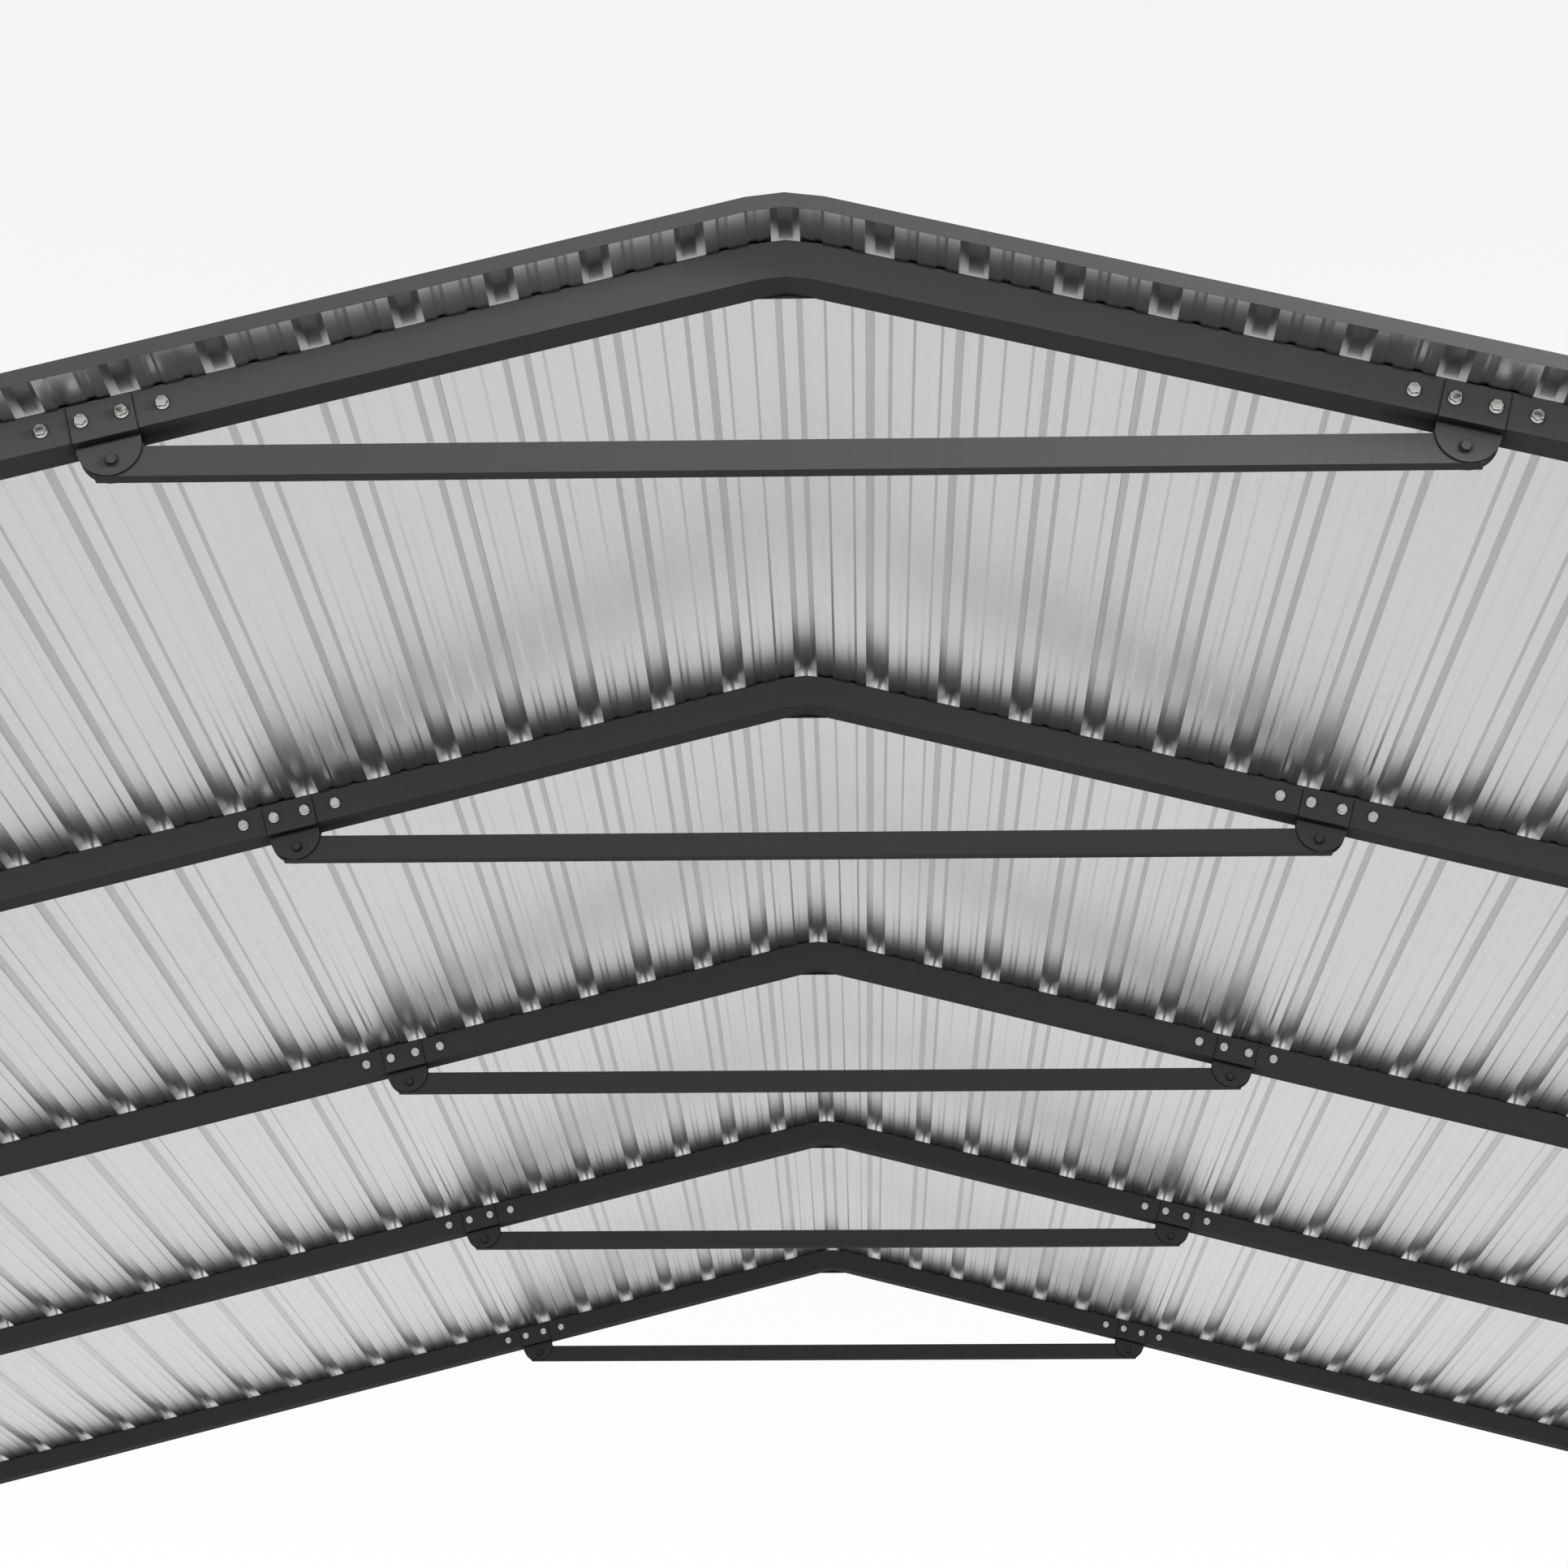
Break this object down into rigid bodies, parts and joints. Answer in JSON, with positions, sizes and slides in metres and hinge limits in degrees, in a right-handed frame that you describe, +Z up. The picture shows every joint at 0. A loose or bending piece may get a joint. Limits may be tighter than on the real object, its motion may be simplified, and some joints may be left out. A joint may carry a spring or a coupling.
{
  "type": "open-sided steel carport",
  "caption": "Open carport: bent square-tube frames with tie bars and folded brackets under a gabled roof of ribbed steel sheet.",
  "frame": {"origin": "on the floor, at the middle of the plan, under the ridge", "axes": "+X across the carport to the right seen from the front, +Y along the ridge to the back, +Z up"},
  "size_m": [6.0246, 6.0254, 2.8946],
  "materials": {
    "charcoal_frame": "charcoal powder coat, satin",
    "charcoal_trim": "charcoal powder coat, satin",
    "galvanised_sheet": "galvanised, glossy with faint rolling streaks",
    "zinc_bolts": "bright zinc plate",
    "black_bolts": "black coated"
  },
  "bodies": {
    "root": {"eave_trim_left": "charcoal_trim", "eave_trim_right": "charcoal_trim", "frame_1_brackets": "charcoal_frame", "frame_1_knees": "charcoal_frame", "frame_1_peak": "charcoal_frame", "frame_1_posts": "charcoal_frame", "frame_1_rafters": "charcoal_frame", "frame_1_tie": "charcoal_frame", "frame_2_brackets": "charcoal_frame", "frame_2_knees": "charcoal_frame", "frame_2_peak": "charcoal_frame", "frame_2_posts": "charcoal_frame", "frame_2_rafters": "charcoal_frame", "frame_2_tie": "charcoal_frame", "frame_3_brackets": "charcoal_frame", "frame_3_knees": "charcoal_frame", "frame_3_peak": "charcoal_frame", "frame_3_posts": "charcoal_frame", "frame_3_rafters": "charcoal_frame", "frame_3_tie": "charcoal_frame", "frame_4_brackets": "charcoal_frame", "frame_4_knees": "charcoal_frame", "frame_4_peak": "charcoal_frame", "frame_4_posts": "charcoal_frame", "frame_4_rafters": "charcoal_frame", "frame_4_tie": "charcoal_frame", "frame_5_brackets": "charcoal_frame", "frame_5_knees": "charcoal_frame", "frame_5_peak": "charcoal_frame", "frame_5_posts": "charcoal_frame", "frame_5_rafters": "charcoal_frame", "frame_5_tie": "charcoal_frame", "gable_trim_back": "charcoal_trim", "gable_trim_front": "charcoal_trim", "roof_ridge_sheet": "galvanised_sheet", "roof_sheet_left_1": "galvanised_sheet", "roof_sheet_left_2": "galvanised_sheet", "roof_sheet_left_3": "galvanised_sheet", "roof_sheet_right_1": "galvanised_sheet", "roof_sheet_right_2": "galvanised_sheet", "roof_sheet_right_3": "galvanised_sheet"}
  },
  "joints": []
}
